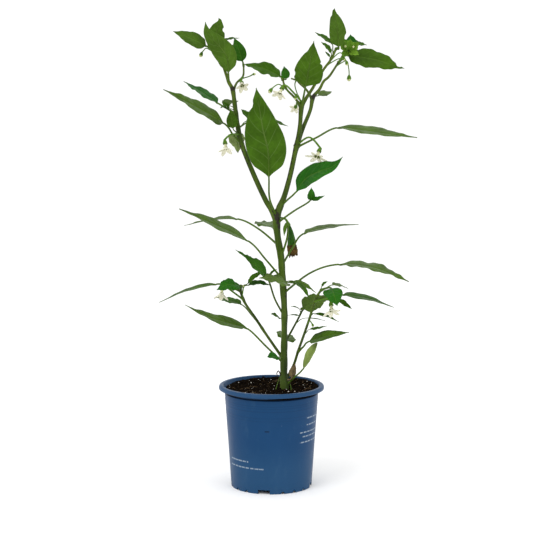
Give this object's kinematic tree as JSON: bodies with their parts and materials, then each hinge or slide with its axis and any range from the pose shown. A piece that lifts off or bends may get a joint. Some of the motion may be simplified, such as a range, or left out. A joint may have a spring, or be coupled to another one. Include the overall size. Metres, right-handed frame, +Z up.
{
  "type": "potted chilli pepper plant",
  "caption": "Young chilli pepper plant with a forked upright stem, pointed leaves, white star flowers and a small green fruit, in a round tapered nursery pot of potting mix",
  "frame": {"origin": "centre of the pot's underside, on the surface it stands on", "axes": "+Z up along the pot's axis, +X to the plant's right as its show side is seen, -Y towards whoever looks at the show side"},
  "size_m": [0.2884, 0.1466, 0.5411],
  "materials": {
    "pot_plastic": "satin",
    "potting_mix": "matte",
    "stem_green": "satin",
    "leaf_green": "satin",
    "petal_cream": "matte",
    "bud_green": "satin",
    "fruit_green": "gloss"
  },
  "bodies": {
    "root": {"pot": "pot_plastic", "soil": "potting_mix", "main_stem": "stem_green", "left_branch": "stem_green", "right_outer_branch": "stem_green", "left_side_shoot": "stem_green", "centre_shoot": "stem_green", "inner_side_shoot": "stem_green", "front_shoot": "stem_green", "lower_left_shoot": "stem_green", "lower_right_shoot": "stem_green", "back_right_shoot": "stem_green", "leaf_top_left_outer": "leaf_green", "leaf_top_left_upright": "leaf_green", "leaf_top_left_front": "leaf_green", "leaf_left_side_shoot": "leaf_green", "leaf_centre_shoot": "leaf_green", "leaf_right_front": "leaf_green", "leaf_top_right_upright": "leaf_green", "leaf_top_right_outer": "leaf_green", "leaf_upper_right_long": "leaf_green", "leaf_fork_right": "leaf_green", "leaf_fork_right_front": "leaf_green", "leaf_front_large": "leaf_green", "leaf_centre_back": "leaf_green", "leaf_upper_left_long": "leaf_green", "leaf_upper_left_back": "leaf_green", "leaf_left_away": "leaf_green", "leaf_left_hanging": "leaf_green", "leaf_middle_left_long": "leaf_green", "leaf_middle_left_back": "leaf_green", "leaf_front_shoot": "leaf_green", "leaf_centre_front_left": "leaf_green", "leaf_centre_front_right": "leaf_green", "leaf_middle_right_back": "leaf_green", "leaf_middle_right_long": "leaf_green", "leaf_middle_away": "leaf_green", "leaf_lower_left_long": "leaf_green", "leaf_left_shoot_round": "leaf_green", "leaf_left_shoot_long": "leaf_green", "leaf_left_shoot_low": "leaf_green", "leaf_right_shoot_front": "leaf_green", "leaf_right_shoot_long": "leaf_green", "leaf_right_shoot_low": "leaf_green", "leaf_back_right_shoot": "leaf_green", "leaf_base_young": "leaf_green", "leaf_lower_away": "leaf_green", "flower_left_top": "petal_cream", "flower_centre": "petal_cream", "flower_behind_right": "petal_cream", "flower_right": "petal_cream", "flower_left": "petal_cream", "flower_lower_left": "petal_cream", "flower_lower_right": "petal_cream", "young_fruit": "fruit_green", "bud_top_left": "bud_green", "bud_centre": "bud_green", "bud_top_right": "bud_green"}
  },
  "joints": []
}
